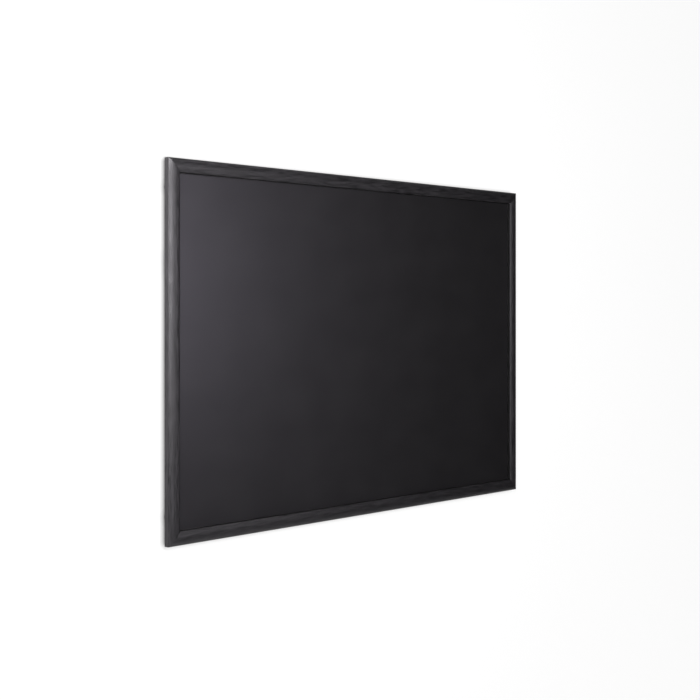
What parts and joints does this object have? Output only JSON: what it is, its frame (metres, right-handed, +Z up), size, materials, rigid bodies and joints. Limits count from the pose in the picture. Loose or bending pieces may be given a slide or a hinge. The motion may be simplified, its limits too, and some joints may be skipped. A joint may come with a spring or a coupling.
{
  "type": "framed wall chalkboard",
  "caption": "Landscape wall chalkboard: matt black writing panel in a mitred black-stained wood frame, with strap hangers, swinging rings and wall pads behind.",
  "frame": {"origin": "middle of the board's outline, on the plane of the wall that its pads touch", "axes": "+X along the board's width, to the right as one faces the writing side; +Y from the board into the wall; +Z up"},
  "size_m": [0.9, 0.0186, 0.6],
  "materials": {
    "black_wood": "black stain, satin, fine lengthwise grain",
    "chalk_lacquer": "hardboard with matt black chalk lacquer",
    "zinc_steel": "zinc plated, semi-bright",
    "pad_rubber": "matt black rubber"
  },
  "bodies": {
    "frame": {"top_rail": "black_wood", "bottom_rail": "black_wood", "left_stile": "black_wood", "right_stile": "black_wood", "writing_panel": "chalk_lacquer", "corner_nail_top_left_1": "zinc_steel", "corner_nail_top_left_2": "zinc_steel", "corner_nail_top_right_1": "zinc_steel", "corner_nail_top_right_2": "zinc_steel", "corner_nail_bottom_left_1": "zinc_steel", "corner_nail_bottom_left_2": "zinc_steel", "corner_nail_bottom_right_1": "zinc_steel", "corner_nail_bottom_right_2": "zinc_steel", "framers_point_top_1": "zinc_steel", "framers_point_top_2": "zinc_steel", "framers_point_top_3": "zinc_steel", "framers_point_top_4": "zinc_steel", "framers_point_bottom_1": "zinc_steel", "framers_point_bottom_2": "zinc_steel", "framers_point_bottom_3": "zinc_steel", "framers_point_bottom_4": "zinc_steel", "framers_point_left_1": "zinc_steel", "framers_point_left_2": "zinc_steel", "framers_point_left_3": "zinc_steel", "framers_point_right_1": "zinc_steel", "framers_point_right_2": "zinc_steel", "framers_point_right_3": "zinc_steel", "left_hanger_strap": "zinc_steel", "right_hanger_strap": "zinc_steel", "left_hanger_screw_1": "zinc_steel", "left_hanger_screw_2": "zinc_steel", "right_hanger_screw_1": "zinc_steel", "right_hanger_screw_2": "zinc_steel", "wall_pad_upper_left": "pad_rubber", "wall_pad_upper_right": "pad_rubber", "wall_pad_lower_left": "pad_rubber", "wall_pad_lower_right": "pad_rubber"},
    "left_ring": {"left_hanger_ring": "zinc_steel"},
    "right_ring": {"right_hanger_ring": "zinc_steel"}
  },
  "joints": [
    {"name": "left_ring_swing", "type": "hinge", "parent": "frame", "child": "left_ring", "pos_m": [-0.44125, -0.0023, 0.15], "axis": [1, 0, 0], "range_deg": [0, 180]},
    {"name": "right_ring_swing", "type": "hinge", "parent": "frame", "child": "right_ring", "pos_m": [0.44125, -0.0023, 0.15], "axis": [1, 0, 0], "range_deg": [0, 180]}
  ]
}
